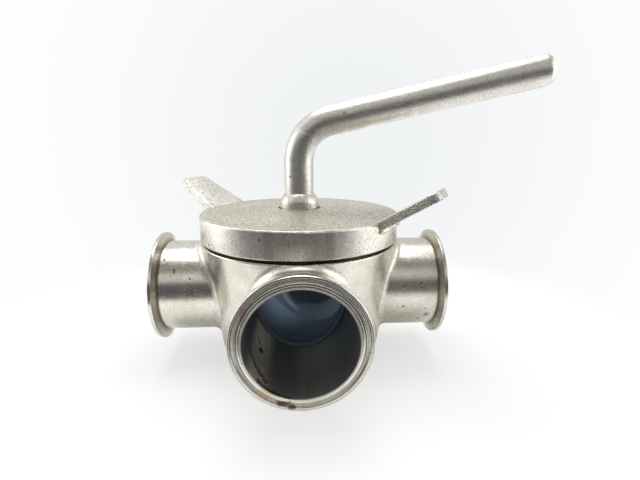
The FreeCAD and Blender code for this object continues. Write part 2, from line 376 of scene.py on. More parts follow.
def buildScratches():
    # short straight scratches in three directions, and a haze of finer ones
    tree, given, result = openGroup("scratches", {"Place": None, "Size": 0.0006}, ("Line", "Haze"))
    scale = calc(tree, "DIVIDE", 1.0, given["Size"])
    total = None
    for turn, drift in ((0.35, 0.0), (1.25, 3.7), (2.3, 8.1)):
        turned = put(tree, "Mapping", {"Vector": given["Place"], "Rotation": (turn, 0.5 * turn, turn)})
        thin = vec(tree, "MULTIPLY", turned.outputs[0], (1.0, 0.05, 0.05))
        moved = vec(tree, "ADD", thin, (drift, drift, 0.0))
        streak = put(tree, "TexNoise", {"Vector": moved, "Scale": scale, "Detail": 1.0}).outputs["Fac"]
        line = fade(tree, streak, 0.71, 0.76)
        total = line if total is None else greater(tree, total, line)
    coarse = times(tree, scale, 0.08)
    haze = put(tree, "TexNoise", {"Vector": given["Place"], "Scale": coarse, "Detail": 5.0})
    feed(tree, result, {"Line": total, "Haze": fade(tree, haze.outputs["Fac"], 0.38, 0.62)})
    return tree


def buildDirtSpots():
    # round specks of uneven size on a small share of the cells
    given = {"Place": None, "Size": 0.004, "Share": 0.2}
    tree, given, result = openGroup("dirtSpots", given, ("Mask",))
    scale = calc(tree, "DIVIDE", 1.0, given["Size"])
    cells = put(tree, "TexVoronoi", {"Vector": given["Place"], "Scale": scale}).outputs
    chance = put(tree, "SeparateColor", {0: cells["Color"]}).outputs
    reach = times(tree, chance[1], 0.16)
    near = calc(tree, "LESS_THAN", cells["Distance"], plus(tree, reach, 0.03))
    picked = calc(tree, "LESS_THAN", chance[0], given["Share"])
    feed(tree, result, {"Mask": times(tree, near, picked)})
    return tree


def buildStainPatch():
    # one ragged patch about a centre, as long, wide and high as its reach
    given = {"Place": None, "Centre": None, "Reach": None, "Ragged": 0.5}
    tree, given, result = openGroup("stainPatch", given, ("Mask",))
    offset = vec(tree, "DIVIDE", vec(tree, "SUBTRACT", given["Place"], given["Centre"]), given["Reach"])
    noise = put(tree, "TexNoise", {"Vector": given["Place"], "Scale": 420.0, "Detail": 4.0, "Roughness": 0.7})
    rough = times(tree, minus(tree, noise.outputs["Fac"], 0.5), given["Ragged"])
    distance = plus(tree, vec(tree, "LENGTH", offset), times(tree, rough, 2.5))
    feed(tree, result, {"Mask": fall(tree, distance, 0.45, 1.0)})
    return tree


castGrain = buildCastGrain()
turnedLines = buildTurnedLines()
scratches = buildScratches()
dirtSpots = buildDirtSpots()
stainPatch = buildStainPatch()
print("shared effects ready")


# ---- steel, common to every steel piece
steel = {
    "clean": rgb(0.70, 0.685, 0.635),
    "warm": rgb(0.60, 0.565, 0.47),
    "grit": rgb(0.12, 0.10, 0.08),
    "rust": rgb(0.20, 0.07, 0.025),
}


def openSurface(name, metallic=1.0):
    material = bpy.data.materials.new(name)
    material.use_nodes = True
    tree = material.node_tree
    shader = tree.nodes["Principled BSDF"]
    shader.inputs["Metallic"].default_value = metallic
    place = put(tree, "TexCoord").outputs["Object"]
    return material, tree, shader, place


def closeSurface(tree, shader, colour, roughness, height, depth):
    bump = put(tree, "Bump", {"Height": height, "Distance": depth, "Strength": 1.0})
    feed(tree, shader, {"Base Color": colour, "Roughness": roughness, "Normal": bump.outputs[0]})


def steelBase(tree, spot, look, clean=None, warm=None, size=None):
    # colour, roughness and height of plain used steel, with painted glints in its colour
    grain = place(tree, castGrain, {"Place": spot, "Size": size or look["grain"], "Pits": look["pits"]})
    marks = place(tree, scratches, {"Place": spot, "Size": look["scratch"]})
    specks = place(tree, dirtSpots, {"Place": spot, "Size": look["speck"], "Share": look["specks"]})["Mask"]
    warmth = times(tree, grain["Tone"], look["warmth"])
    look = {**steel, **look}
    colour = tint(tree, warmth, clean or look["clean"], warm or look["warm"])
    dark = greater(tree, times(tree, grain["Pit"], look["pitDark"]), specks)
    colour = tint(tree, dark, colour, steel["grit"])
    # painted glints: the brightest random cells are painted near white, the darkest ones darker
    paintedGlint = times(tree, fade(tree, grain["Spark"], 0.55, 0.95), look["glint"])
    shade = times(tree, fall(tree, grain["Spark"], 0.05, 0.45), look["glint"])
    colour = tint(tree, paintedGlint, colour, rgb(0.93, 0.92, 0.89))
    colour = tint(tree, times(tree, shade, 0.6), colour, rgb(0.22, 0.21, 0.19))
    low, high = look["roughness"]
    uneven = plus(tree, times(tree, marks["Haze"], 0.6), times(tree, grain["Tone"], 0.4))
    roughness = mix(tree, uneven, low, high)
    roughness = plus(tree, roughness, times(tree, dark, 0.25))
    cut = times(tree, marks["Line"], look["scratchDepth"])
    height = minus(tree, times(tree, grain["Height"], look["lumps"]), cut)
    return colour, roughness, height


def streak(tree, spot, start, end, width):
    # a ragged line of dirt from start to end
    way = Vector(end) - Vector(start)
    offset = vec(tree, "SUBTRACT", spot, tuple(start))
    share = calc(tree, "DIVIDE", vec(tree, "DOT_PRODUCT", offset, tuple(way)), way.length_squared, clamp=True)
    along = put(tree, "VectorMath", {0: tuple(way), "Scale": share}, operation="SCALE").outputs[0]
    distance = vec(tree, "LENGTH", vec(tree, "SUBTRACT", offset, along))
    noise = put(tree, "TexNoise", {"Vector": spot, "Scale": 380.0, "Detail": 5.0, "Roughness": 0.75})
    rough = times(tree, minus(tree, noise.outputs["Fac"], 0.5), width * 4.0)
    return fall(tree, plus(tree, distance, rough), 0.4 * width, width)


def wear(tree, spot, colour, centre, reach, amount, stain, ragged=0.5):
    # one patch of a stain, and how much of it is on each spot
    inputs = {"Place": spot, "Centre": centre, "Reach": reach, "Ragged": ragged}
    mask = times(tree, place(tree, stainPatch, inputs)["Mask"], amount)
    return tint(tree, mask, colour, stain), mask


def axisDistance(tree, spot):
    return vec(tree, "LENGTH", vec(tree, "MULTIPLY", spot, (1.0, 1.0, 0.0)))


def portPlace(tree, spot, outward):
    # how far along a port and how far from its axis
    offset = vec(tree, "SUBTRACT", spot, (0.0, 0.0, portHeight))
    along = vec(tree, "DOT_PRODUCT", offset, outward)
    total = vec(tree, "LENGTH", offset)
    square = minus(tree, times(tree, total, total), times(tree, along, along))
    return along, calc(tree, "SQRT", greater(tree, square, 0.0))


# ---- ferrules
ferruleLook = {
    "grain": 0.0009, "pits": 0.14, "pitDark": 0.5, "lumps": 0.45, "warmth": 0.8, "glint": 0.25,
    "scratch": 0.0006, "scratchDepth": 0.2, "speck": 0.007, "specks": 0.10,
    "roughness": (0.19, 0.25), "faceRoughness": 0.16, "bump": 0.00010,
    "faceDepth": (0.0021, 0.0017),  # from the port's end to where the face starts
    "rightExtra": 0.06, "rightShade": rgb(0.93, 0.93, 0.92),  # painted shade: the right ferrule's colour is darker, and it is rougher
    "faceRings": 1.6, "ringsFrom": (0.0388, 0.0402),
    "boreGrime": rgb(0.20, 0.17, 0.13), "boreRoughness": 0.46, "boreFilm": 0.55,
    "cornerShade": rgb(0.17, 0.12, 0.07), "cornerDepth": 0.0056, "cornerWidth": 0.0016,
}
portWays = {"left": (-1.0, 0.0, 0.0), "right": (1.0, 0.0, 0.0), "front": (0.0, -1.0, 0.0)}


def ferruleBase(tree, spot, side):
    look = ferruleLook
    colour, roughness, height = steelBase(tree, spot, look)
    along, radius = portPlace(tree, spot, portWays[side])
    tube = place(tree, turnedLines, {"Along": along, "Spacing": 0.00045})
    face = place(tree, turnedLines, {"Along": radius, "Spacing": 0.00022})
    onFace = fade(tree, along, *[portReach - depth for depth in look["faceDepth"]])
    turned = times(tree, tube["Height"], 0.15)
    faced = times(tree, face["Band"], look["faceRings"])
    height = plus(tree, height, mix(tree, onFace, turned, faced))
    ring = times(tree, face["Band"], fade(tree, radius, *look["ringsFrom"], 0.05, 0.35))
    colour = tint(tree, times(tree, onFace, ring), colour, rgb(0.22, 0.22, 0.23))
    # painted shade in the corner behind the flange
    beside = calc(tree, "ABSOLUTE", minus(tree, along, portReach - look["cornerDepth"]))
    corner = fall(tree, beside, 0.0, look["cornerWidth"])
    outside = fade(tree, radius, boreRadius + 0.0004, boreRadius + 0.0008)
    cornerShadeMask = times(tree, times(tree, corner, outside), 0.75)
    colour = tint(tree, cornerShadeMask, colour, look["cornerShade"])
    inside = minus(tree, 1.0, outside)
    roughness = mix(tree, onFace, roughness, look["faceRoughness"])
    roughness = mix(tree, inside, roughness, look["boreRoughness"])
    return colour, roughness, height, inside


def filmOver(tree, shader, inside):
    # product dried on the bore's steel lets less of the metal through
    metallic = mix(tree, inside, 1.0, 1.0 - ferruleLook["boreFilm"])
    tree.links.new(metallic, shader.inputs["Metallic"])


def aboutPort(side, turn, depth, radius):
    # turn in degrees from straight down, depth in millimetres behind the port's face, radius in metres
    outward = Vector(portWays[side])
    sideways = Vector((1, 0, 0)) if side == "front" else Vector((0, -1, 0))
    angle = math.radians(turn)
    middle = Vector((0, 0, portHeight)) + outward * (portReach - depth * millimetre)
    return tuple(middle + (sideways * math.sin(angle) - Vector((0, 0, math.cos(angle)))) * radius)


# each stain: turn, depth, reach, amount. The left port's first one runs over its weld
sideStains = {
    "left": [(125, 43, (0.005, 0.010, 0.009), 0.5), (125, 18, (0.0012, 0.004, 0.003), 0.8),
             (140, 9, (0.0013, 0.0013, 0.0013), 0.9), (115, 31, (0.0015, 0.003, 0.0013), 0.7)],
    "right": [(50, 19, (0.0014, 0.002, 0.0013), 0.9), (60, 13, (0.003, 0.004, 0.003), 0.6),
              (70, 15, (0.0012, 0.002, 0.0012), 0.6)],
}


def sideFerruleSteel(side):
    material, tree, shader, spot = openSurface(side + "FerruleSteel")
    colour, roughness, height, inside = ferruleBase(tree, spot, side)
    if side == "right":
        # painted shade: a darker copy of the ferrule's colour on the right
        colour = tint(tree, 1.0, colour, ferruleLook["rightShade"], "MULTIPLY")
        roughness = plus(tree, roughness, ferruleLook["rightExtra"])
    colour = tint(tree, inside, colour, ferruleLook["boreGrime"])
    filmOver(tree, shader, inside)
    stain = steel["rust"] if side == "right" else steel["grit"]
    for turn, depth, reach, amount in sideStains[side]:
        centre = aboutPort(side, turn, depth, tubeRadius)
        colour = wear(tree, spot, colour, centre, reach, amount, stain)[0]
    closeSurface(tree, shader, colour, roughness, height, ferruleLook["bump"])
    return material


frontStains = {
    # on the face: colour, amount, then turn, distance from the axis and reach of each
    "pink": (rgb(0.42, 0.30, 0.26), 0.6, [(-120, 0.040, (0.0045, 0.004, 0.010))]),
    "yellow": (rgb(0.62, 0.46, 0.20), 0.55, [(-35, 0.038, (0.0085, 0.004, 0.005))]),
    "rust": (rgb(0.16, 0.065, 0.03), 0.9, [(-16, 0.041, (0.007, 0.004, 0.003)),
                                           (-9, 0.043, (0.0035, 0.004, 0.002))]),
}
faceDepth = 1  # millimetres from the port's end to the middle of those stains

boreLook = {
    # across the bore: where each film of dried product starts, is full, thins and ends
    "leftFilm": (-0.0356, -0.0315, -0.0265, -0.019), "lowFilm": (-0.014, 0.004, 0.018, 0.031),
    "bare": rgb(0.105, 0.110, 0.118), "film": rgb(0.43, 0.40, 0.31), "smear": rgb(0.11, 0.10, 0.08),
    # painted light: the film's paler colour deeper in the bore, and where it starts
    "paintedDeepLight": rgb(0.88, 0.86, 0.78), "paintedDeepLightFrom": (-0.100, -0.060),
    # turn and depth of the oval
    "oval": (-52, 38), "ovalReach": (0.0030, 0.0042, 0.0030), "ovalColour": rgb(0.02, 0.018, 0.016),
    # turn and depth of both ends of each streak, its width and colour
    "streaks": [
        (-80, 67, -55, 45, 0.0011, rgb(0.070, 0.045, 0.025)),
        (-70, 23, -55, 15, 0.0018, rgb(0.040, 0.028, 0.020)),
        (-55, 15, -40, 8, 0.0026, rgb(0.060, 0.036, 0.022)),
        (-48, 2, -25, 1, 0.0024, rgb(0.022, 0.017, 0.014)),
        (-25, 1, -12, 0, 0.0012, rgb(0.022, 0.017, 0.014)),
    ],
}


def boreDirt(tree, spot, colour, inside):
    # brown film on one wall of the front bore, grey blue on the other, streaks and a dark oval, and painted
    # light that makes the film paler deeper in
    look = boreLook
    across, deep = split(tree, spot)[:2]
    drawn = vec(tree, "MULTIPLY", spot, (1.0, 0.07, 1.0))
    smear = put(tree, "TexNoise", {"Vector": drawn, "Scale": 300.0, "Detail": 5.0, "Roughness": 0.7})
    smear = smear.outputs["Fac"]
    leftFilm = band(tree, across, look["leftFilm"], 1.0, 0.12)
    lowFilm = band(tree, across, look["lowFilm"], 0.32, 0.08)
    film = times(tree, greater(tree, leftFilm, lowFilm), fade(tree, smear, 0.30, 0.60, 0.6, 1.0))
    wall = tint(tree, film, look["bare"], look["film"])
    wall = tint(tree, fade(tree, smear, 0.48, 0.66, 0.0, 0.35), wall, look["smear"])
    # painted light: the film is painted paler deeper in the bore
    paintedDeepLightMask = times(tree, film, fade(tree, deep, *look["paintedDeepLightFrom"], 0.0, 0.75))
    wall = tint(tree, paintedDeepLightMask, wall, look["paintedDeepLight"])
    colour = tint(tree, inside, colour, wall)
    for startTurn, startDepth, endTurn, endDepth, width, stain in look["streaks"]:
        start = aboutPort("front", startTurn, startDepth, boreRadius)
        end = aboutPort("front", endTurn, endDepth, boreRadius)
        mask = times(tree, streak(tree, spot, start, end, width), inside)
        colour = tint(tree, times(tree, mask, 0.92), colour, stain)
    centre = aboutPort("front", *look["oval"], boreRadius)
    return wear(tree, spot, colour, centre, look["ovalReach"], inside, look["ovalColour"], 0.2)[0]


def frontFerruleSteel():
    material, tree, shader, spot = openSurface("frontFerruleSteel")
    colour, roughness, height, inside = ferruleBase(tree, spot, "front")
    for stain, amount, places in frontStains.values():
        for turn, radius, reach in places:
            centre = aboutPort("front", turn, faceDepth, radius)
            colour, mask = wear(tree, spot, colour, centre, reach, amount, stain)
            roughness = plus(tree, roughness, times(tree, mask, 0.2))
    colour = boreDirt(tree, spot, colour, inside)
    filmOver(tree, shader, inside)
    closeSurface(tree, shader, colour, roughness, height, ferruleLook["bump"])
    return material


# ---- bowl
bowlLook = {
    "grain": 0.0010, "pits": 0.07, "pitDark": 0.4, "lumps": 0.40, "warmth": 0.9, "glint": 0.15,
    "scratch": 0.0007, "scratchDepth": 0.12, "speck": 0.009, "specks": 0.06,
    "roughness": (0.26, 0.31), "bump": 0.00010,
    "gapGrimeAndShade": rgb(0.20, 0.16, 0.11),
}


def bowlSteel():
    material, tree, shader, spot = openSurface("bowlSteel")
    look = bowlLook
    colour, roughness, height = steelBase(tree, spot, look)
    rise = split(tree, spot)["Z"]
    # grime and painted shade on the neck and the shoulder's top, in the gap under the cap
    neck = fade(tree, rise, shoulderHeight - 0.0004, shoulderHeight + 0.0002)
    colour = tint(tree, times(tree, neck, 0.85), colour, look["gapGrimeAndShade"])
    frontAlong, frontRadius = portPlace(tree, spot, portWays["front"])
    sideRadius = portPlace(tree, spot, portWays["right"])[1]
    # the back has no port, so nothing there counts as inside one
    frontRadius = plus(tree, frontRadius, fall(tree, frontAlong, 0.0, 0.01))
    nearest = calc(tree, "MINIMUM", frontRadius, sideRadius)
    inside = fall(tree, nearest, boreRadius + 0.0007, boreRadius + 0.0011)
    roughness = mix(tree, inside, roughness, ferruleLook["boreRoughness"])
    colour = boreDirt(tree, spot, colour, inside)
    filmOver(tree, shader, inside)
    closeSurface(tree, shader, colour, roughness, height, look["bump"])
    return material


# ---- welds
weldLook = {
    "grain": 0.0013, "pits": 0.12, "pitDark": 0.5, "lumps": 0.6, "warmth": 0.8, "glint": 0.3,
    "scratch": 0.0006, "scratchDepth": 0.2, "speck": 0.006, "specks": 0.12,
    "roughness": (0.33, 0.42), "bump": 0.00014,
}


def weldSteel():
    material, tree, shader, spot = openSurface("weldSteel")
    colour, roughness, height = steelBase(tree, spot, weldLook)
    turn, depth, reach, amount = sideStains["left"][0]
    centre = aboutPort("left", turn, depth, tubeRadius)
    colour = wear(tree, spot, colour, centre, reach, amount, steel["grit"])[0]
    closeSurface(tree, shader, colour, roughness, height, weldLook["bump"])
    return material


# ---- cap nut
capLook = {
    "grain": 0.0008, "pits": 0.60, "pitDark": 0.85, "lumps": 1.0, "warmth": 0.8, "glint": 0.42,
    "scratch": 0.0006, "scratchDepth": 0.2, "speck": 0.007, "specks": 0.14,
    "roughness": (0.32, 0.36), "bump": 0.00012,
    "topClean": rgb(0.475, 0.46, 0.40), "topWarm": rgb(0.405, 0.385, 0.31), "topRoughness": 0.46,
    "topPits": 1.7,  # the pits of the top are this much larger
    "rimStain": rgb(0.42, 0.32, 0.27),
    # turn from the front in radians, half width and amount of each stain
    "rimStains": ((-0.26, 0.055, 0.35), (0.245, 0.055, 0.5), (0.10, 0.10, 0.2), (-0.45, 0.10, 0.2)),
    "spotTurn": -55, "spotRise": 0.003,  # degrees from the front, height above the rim's foot
    "spotReach": (0.0014, 0.0014, 0.0014),
}


def capSteel():
    material, tree, shader, spot = openSurface("capSteel")
    look = capLook
    across, deep, rise = split(tree, spot)
    radius = axisDistance(tree, spot)
    top = fall(tree, radius, capRadius - 0.0013, capRadius - 0.0005)
    top = times(tree, top, fade(tree, rise, capRimTop - 0.003, capRimTop - 0.002))
    clean = tint(tree, top, steel["clean"], look["topClean"])
    warm = tint(tree, top, steel["warm"], look["topWarm"])
    size = times(tree, mix(tree, top, 1.0, look["topPits"]), look["grain"])
    colour, roughness, height = steelBase(tree, spot, look, clean, warm, size)
    lines = place(tree, turnedLines, {"Along": rise, "Spacing": 0.0004})
    rim = minus(tree, 1.0, top)
    height = plus(tree, height, times(tree, times(tree, lines["Height"], rim), 0.2))
    height = times(tree, height, mix(tree, top, 0.55, 1.3))
    # faint upright stains round the rim
    turn = calc(tree, "ARCTAN2", across, times(tree, deep, -1.0))
    for centre, width, amount in look["rimStains"]:
        near = calc(tree, "ABSOLUTE", minus(tree, turn, centre))
        stained = times(tree, fall(tree, near, 0.5 * width, width), rim)
        colour = tint(tree, times(tree, stained, amount), colour, look["rimStain"])
    roughness = mix(tree, top, roughness, look["topRoughness"])
    angle = math.radians(look["spotTurn"])
    mark = (capRadius * math.sin(angle), -capRadius * math.cos(angle), capLow.z + look["spotRise"])
    colour = wear(tree, spot, colour, mark, look["spotReach"], 1.0, steel["grit"], 0.2)[0]
    closeSurface(tree, shader, colour, roughness, height, look["bump"])
    return material


# ---- wings
wingLook = {
    "grain": 0.0011, "pits": 0.70, "pitDark": 0.9, "lumps": 1.9, "warmth": 0.8, "glint": 0.32,
    "scratch": 0.0008, "scratchDepth": 0.3, "speck": 0.006, "specks": 0.2,
    "roughness": (0.30, 0.38), "bump": 0.00022,
    "clean": rgb(0.60, 0.59, 0.56), "warm": rgb(0.52, 0.50, 0.45),
    "heatTurn": -38, "heatOut": 0.034, "heatRise": 0.019,  # near the front wing's tip, past the cap's rim
    "heatReach": (0.0050, 0.0050, 0.0035), "heatColour": rgb(0.30, 0.42, 0.53),
}


def wingSteel():
    material, tree, shader, spot = openSurface("wingSteel")
    look = wingLook
    colour, roughness, height = steelBase(tree, spot, look)
    angle = math.radians(look["heatTurn"])
    out = capRadius + look["heatOut"]
    mark = (out * math.cos(angle), out * math.sin(angle), capRimTop + look["heatRise"])
    colour = wear(tree, spot, colour, mark, look["heatReach"], 0.6, look["heatColour"], 0.4)[0]
    closeSurface(tree, shader, colour, roughness, height, look["bump"])
    return material


# ---- stem and handle
handleLook = {
    "grain": 0.0008, "pits": 0.18, "pitDark": 0.45, "lumps": 0.7, "warmth": 0.55, "glint": 0.35,
    "scratch": 0.0007, "scratchDepth": 0.5, "speck": 0.007, "specks": 0.08,
    "roughness": (0.35, 0.43), "bump": 0.00013,
    "clean": rgb(0.62, 0.605, 0.57), "warm": rgb(0.53, 0.50, 0.43),
}


def plainSteel(name, look):
    material, tree, shader, spot = openSurface(name)
    closeSurface(tree, shader, *steelBase(tree, spot, look), look["bump"])
    return material


# ---- rubber and plastic
rubberLook = {
    "deep": rgb(0.135, 0.19, 0.26), "worn": rgb(0.18, 0.24, 0.31), "dust": rgb(0.50, 0.56, 0.63),
    "grain": 0.0022, "speck": 0.0030, "specks": 0.16, "roughness": (0.30, 0.38),
    "faceRadius": (0.0445, 0.0475),  # the outer face, which is darker
    "shadeOut": 0.014, "shadeRise": 0.0035, # painted shade: a dark round deep in the passage, right of and above its middle
    "shadeTilt": 20,  # degrees, slope of the line that it lies about
    "shadeReach": (0.0225, 0.0285), "softReach": (0.0220, 0.0370),
    "highlightReach": (0.0308, 0.0320, 0.0338, 0.0356),
    "bright": rgb(0.52, 0.69, 0.86), "paintedLightFrom": (-0.040, 0.026), "wallRadius": (0.0347, 0.0353),
    "shadow": rgb(0.035, 0.040, 0.048), "edge": rgb(0.86, 0.91, 0.95), "bump": 0.00003,
}


def plugRubber():
    material, tree, shader, spot = openSurface("plugRubber", 0.0)
    look = rubberLook
    grain = place(tree, castGrain, {"Place": spot, "Size": look["grain"], "Pits": 0.05})
    specks = place(tree, dirtSpots, {"Place": spot, "Size": look["speck"], "Share": look["specks"]})["Mask"]
    colour = tint(tree, grain["Tone"], look["deep"], look["worn"])
    colour = tint(tree, times(tree, specks, 0.5), colour, look["dust"])
    across, deep = split(tree, spot)[:2]
    # painted light: only the wall of the passage is lighter, more so deeper in and to the right
    corner = plus(tree, across, deep)
    frontRadius = portPlace(tree, spot, portWays["front"])[1]
    frontRadius = plus(tree, frontRadius, fade(tree, corner, -0.0005, 0.0005))
    sideRadius = portPlace(tree, spot, portWays["right"])[1]
    wall = fall(tree, calc(tree, "MINIMUM", frontRadius, sideRadius), *look["wallRadius"])
    rightward = times(tree, greater(tree, across, 0.0), 0.9)
    bright = times(tree, fade(tree, plus(tree, deep, rightward), *look["paintedLightFrom"]), wall)
    bright = times(tree, bright, fade(tree, across, -0.005, 0.012, 0.85, 0.62))
    colour = tint(tree, bright, colour, look["bright"])
    # painted shade on the wall of the passage's right leg
    rightLegShade = fade(tree, corner, -0.0015, 0.0015, 0.0, 0.28)
    colour = tint(tree, times(tree, rightLegShade, wall), colour, look["shadow"])
    radius = axisDistance(tree, spot)
    outerFace = fade(tree, radius, *look["faceRadius"])
    tilt = math.radians(look["shadeTilt"])
    offset = vec(tree, "SUBTRACT", spot, (look["shadeOut"], 0.0, portHeight + look["shadeRise"]))
    away = vec(tree, "LENGTH", vec(tree, "CROSS_PRODUCT", offset, (0.0, math.cos(tilt), -math.sin(tilt))))
    behind = fade(tree, vec(tree, "DOT_PRODUCT", offset, (-0.5, 1.0, 0.0)), -0.004, 0.004)
    behind = times(tree, behind, wall)
    sharper = times(tree, away, fade(tree, across, -0.004, 0.008, 0.86, 1.0))
    shade = fall(tree, sharper, *look["shadeReach"])
    shade = greater(tree, shade, fade(tree, away, *look["softReach"], 0.45, 0.0))
    shade = times(tree, shade, times(tree, behind, fade(tree, across, -0.0125, -0.0105)))
    # painted shade: the dark round deep in the passage; the outer face is darker too
    dark = greater(tree, times(tree, outerFace, 0.45), times(tree, shade, 0.85))
    colour = tint(tree, dark, colour, look["shadow"])
    # painted highlight: a pale crescent along the edge of that painted shade
    edge = times(tree, band(tree, away, look["highlightReach"]), behind)
    edge = times(tree, edge, fade(tree, across, -0.011, 0.003, 0.9, 0.0))
    colour = tint(tree, edge, colour, look["edge"])
    roughness = mix(tree, grain["Tone"], *look["roughness"])
    closeSurface(tree, shader, colour, roughness, grain["Height"], look["bump"])
    return material


def sealRubber():
    material, tree, shader, spot = openSurface("sealRubber", 0.0)
    grain = place(tree, castGrain, {"Place": spot, "Size": 0.0006, "Pits": 0.2})
    colour = tint(tree, grain["Tone"], rgb(0.018, 0.018, 0.018), rgb(0.045, 0.043, 0.040))
    roughness = mix(tree, grain["Tone"], 0.45, 0.62)
    closeSurface(tree, shader, colour, roughness, grain["Height"], 0.00005)
    return material


def bearingPlastic():
    material, tree, shader, spot = openSurface("bearingPlastic", 0.0)
    grain = place(tree, castGrain, {"Place": spot, "Size": 0.0012, "Pits": 0.1})
    lines = place(tree, turnedLines, {"Along": axisDistance(tree, spot), "Spacing": 0.0004})
    colour = tint(tree, grain["Tone"], rgb(0.72, 0.70, 0.62), rgb(0.58, 0.54, 0.45))
    roughness = mix(tree, lines["Band"], 0.35, 0.5)
    closeSurface(tree, shader, colour, roughness, lines["Height"], 0.00004)
    return material


# ---- pieces that the solids leave to this script
def lengths(**sizes):
    # given in millimetres, kept in metres
    return {name: size * millimetre for name, size in sizes.items()}


def newPiece(name, form, material, body):
    mesh = bpy.data.meshes.new(name)
    bmesh.ops.recalc_face_normals(form, faces=form.faces)
    for face in form.faces:
        face.smooth = True
    form.to_mesh(mesh)
    form.free()
    mesh.set_sharp_from_angle(angle=math.radians(40))
    mesh.materials.append(material)
    piece = addObject(name, mesh)
    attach(piece, body)
    return piece


def around(count):
    return [2 * math.pi * step / count for step in range(count)]


def circle(radius, height, turns):
    return [(radius * math.cos(turn), radius * math.sin(turn), height) for turn in turns]


def sweepRings(rings, closed):
    # a skin over a row of closed rings, joined end to end or capped
    form = bmesh.new()
    loops = [[form.verts.new(point) for point in ring] for ring in rings]
    pairs = list(zip(loops, loops[1:])) + ([(loops[-1], loops[0])] if closed else [])
    for first, second in pairs:
        count = len(first)
        for step in range(count):
            after = (step + 1) % count
            form.faces.new((first[step], first[after], second[after], second[step]))
    if not closed:
        form.faces.new(loops[0])
        form.faces.new(loops[-1])
    return form


thread = {
    **lengths(pitch=4.0, depth=1.5, rootWidth=3.0, crestWidth=1.3, endGap=1.8, sunk=0.1),
    "stepsPerTurn": 120,
}


def buildThread(material):
    # the ridge that winds up the bowl's neck and runs out at both ends
    form = thread
    root = neckRadius - form["sunk"]
    crest = neckRadius + form["depth"]
    low = shoulderHeight + form["endGap"]
    high = neckTop - form["endGap"]
    turns = (high - low) / form["pitch"]
    steps = round(turns * form["stepsPerTurn"])
    rings = []
    for step in range(steps + 1):
        share = step / steps
        angle = 2 * math.pi * turns * share
        height = low + (high - low) * share
        taper = min(1.0, share * turns * 5, (1 - share) * turns * 5) * 0.999 + 0.001
        tip = root + (crest - root) * taper
        profile = ((root, -form["rootWidth"] / 2), (tip, -form["crestWidth"] / 2),
                   (tip, form["crestWidth"] / 2), (root, form["rootWidth"] / 2))
        rings.append([(r * math.cos(angle), r * math.sin(angle), height + up) for r, up in profile])
    return newPiece("neckThread", sweepRings(rings, False), material, "bowl")


handleBead = {
    "segments": 160, "rows": 14, "ripples": 34,
    "waves": ((3, 0.35, 0.4), (5, 0.22, 1.7), (8, 0.14, 2.9)),  # lobes, size in millimetres, phase
    **lengths(height=8.6, swell=1.25, rippleDepth=0.07, footInset=0.2, topInset=0.3, sunk=0.1,
              coreRadius=11.4, coreRise=0.2),
}


def buildHandleBead(material):
    # a fillet weld between the stem's top and the bar, with ripples round it
    form = handleBead
    low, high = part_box("handle_weld")
    outer = high.x
    turns = around(form["segments"])
    rings = []
    for row in range(form["rows"] + 1):
        share = row / form["rows"]
        ring = []
        for angle in turns:
            lump = sum(size * math.sin(lobes * angle + phase) for lobes, size, phase in form["waves"])
            swell = math.sin(math.pi * share) ** 0.8
            ripple = form["rippleDepth"] * math.sin(form["ripples"] * angle + 2.2 * share)
            top = handleForm["radius"] - form["topInset"]
            radius = outer - form["footInset"] + (top - outer) * share
            radius += swell * (form["swell"] + 0.5 * lump * millimetre + ripple)
            height = low.z - form["sunk"] + share * (form["height"] + lump * millimetre * share)
            ring.append((radius * math.cos(angle), radius * math.sin(angle), height))
        rings.append(ring)
    ends = (high.z + form["coreRise"], low.z)
    core = [circle(form["coreRadius"], height, turns) for height in ends]
    return newPiece("handleBead", sweepRings(rings + core, True), material, "plug")


wingBeads = {
    "front": {"azimuth": -30.0, "phase": 0.6},
    "rear": {"azimuth": 150.0, "phase": 2.1},
    "rise": 30.7, "halfAngle": 16.0,  # degrees, slope of the wing's underside and half the bead's turn
    # the underside meets the rim this far below its top, and the bead's middle lies below and outside that
    **lengths(underside=4.35, below=0.8, out=0.5, size=1.9, endLength=3.5),
    "steps": 60, "sides": 20,
    "waves": ((7, 0.10), (17, 0.06), (31, 0.03)),  # lumps along the bead and their share of its size
}


def buildWingBead(side, material):
    form = wingBeads
    middle = math.radians(form[side]["azimuth"])
    half = math.radians(form["halfAngle"])
    slope = math.tan(math.radians(form["rise"]))
    length = 2 * half * capRadius
    turns = around(form["sides"])
    rings = []
    for step in range(form["steps"] + 1):
        share = step / form["steps"]
        turn = (2 * share - 1) * half
        fromEnd = min(share, 1 - share) * length / form["endLength"]
        swell = math.sqrt(1 - (1 - min(fromEnd, 1.0)) ** 2) * 0.995 + 0.005
        lump = sum(size * math.sin(count * share * 3 + form[side]["phase"] * count)
                   for count, size in form["waves"])
        radius = form["size"] * swell * (1 + lump)
        drop = capRadius * (1 - math.cos(turn)) * slope
        height = capRimTop - form["underside"] - drop - form["below"]
        reach = capRadius + form["out"]
        outward = Vector((math.cos(middle + turn), math.sin(middle + turn), 0))
        centre = outward * reach + Vector((0, 0, height))
        rings.append([centre + outward * radius * math.cos(angle) + Vector((0, 0, radius * math.sin(angle)))
                      for angle in turns])
    return newPiece(side + "WingBead", sweepRings(rings, False), material, "cap")


# ---- forms that the solids have plainer
capForm = {
    # crown is the rise of the top from its rim to the stem's hole, skirt is how far the rim reaches
    # below the solid's, and width is that of the skirt's ring
    **lengths(crown=3.1, holeRadius=17.7, topEdge=1.8, skirt=0.7, bottomEdge=0.8, width=6.0,
              sunk=0.02, bevel=0.4),
    "segments": 288, "edgeSteps": 5,
}


